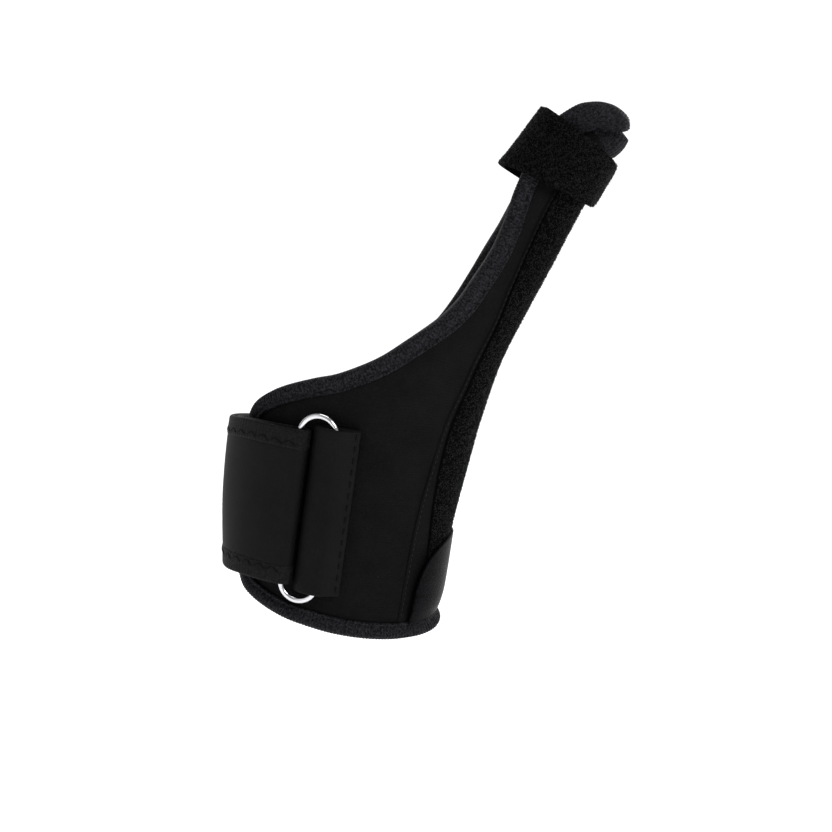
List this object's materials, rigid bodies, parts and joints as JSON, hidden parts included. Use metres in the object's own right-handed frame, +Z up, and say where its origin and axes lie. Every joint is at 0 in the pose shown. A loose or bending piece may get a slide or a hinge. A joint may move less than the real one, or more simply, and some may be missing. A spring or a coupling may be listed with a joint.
{
  "type": "thumb splint",
  "caption": "Soft wrist and thumb splint for a right hand, open along the little-finger side, with a ring-fastened wrist strap and a pile strap round the thumb.",
  "frame": {"origin": "middle of the wrist opening, level with the rim's thumb side", "axes": "+Z up the forearm towards the thumb's tip, +X to the thumb side, +Y to the back of the hand"},
  "size_m": [0.1074, 0.0574, 0.1639],
  "materials": {
    "panel": "smooth knitted nylon face on foam rubber",
    "binding": "ribbed elastic tape, folded over the edge",
    "pile": "looped pile of a hook-and-loop fastener",
    "patch": "brushed knit",
    "strap": "fine woven face",
    "hem": "elastic edge tape with zigzag stitches",
    "ring": "bright plated wire"
  },
  "bodies": {
    "root": {"main_panel": "panel", "edge_binding": "binding", "stay_sleeve": "panel", "loop_strip": "pile", "foot_patch": "patch", "strap_ring": "ring", "ring_tab": "strap", "wrist_strap": "strap", "strap_hem_lower": "hem", "strap_hem_upper": "hem", "thumb_strap": "pile"}
  },
  "joints": []
}
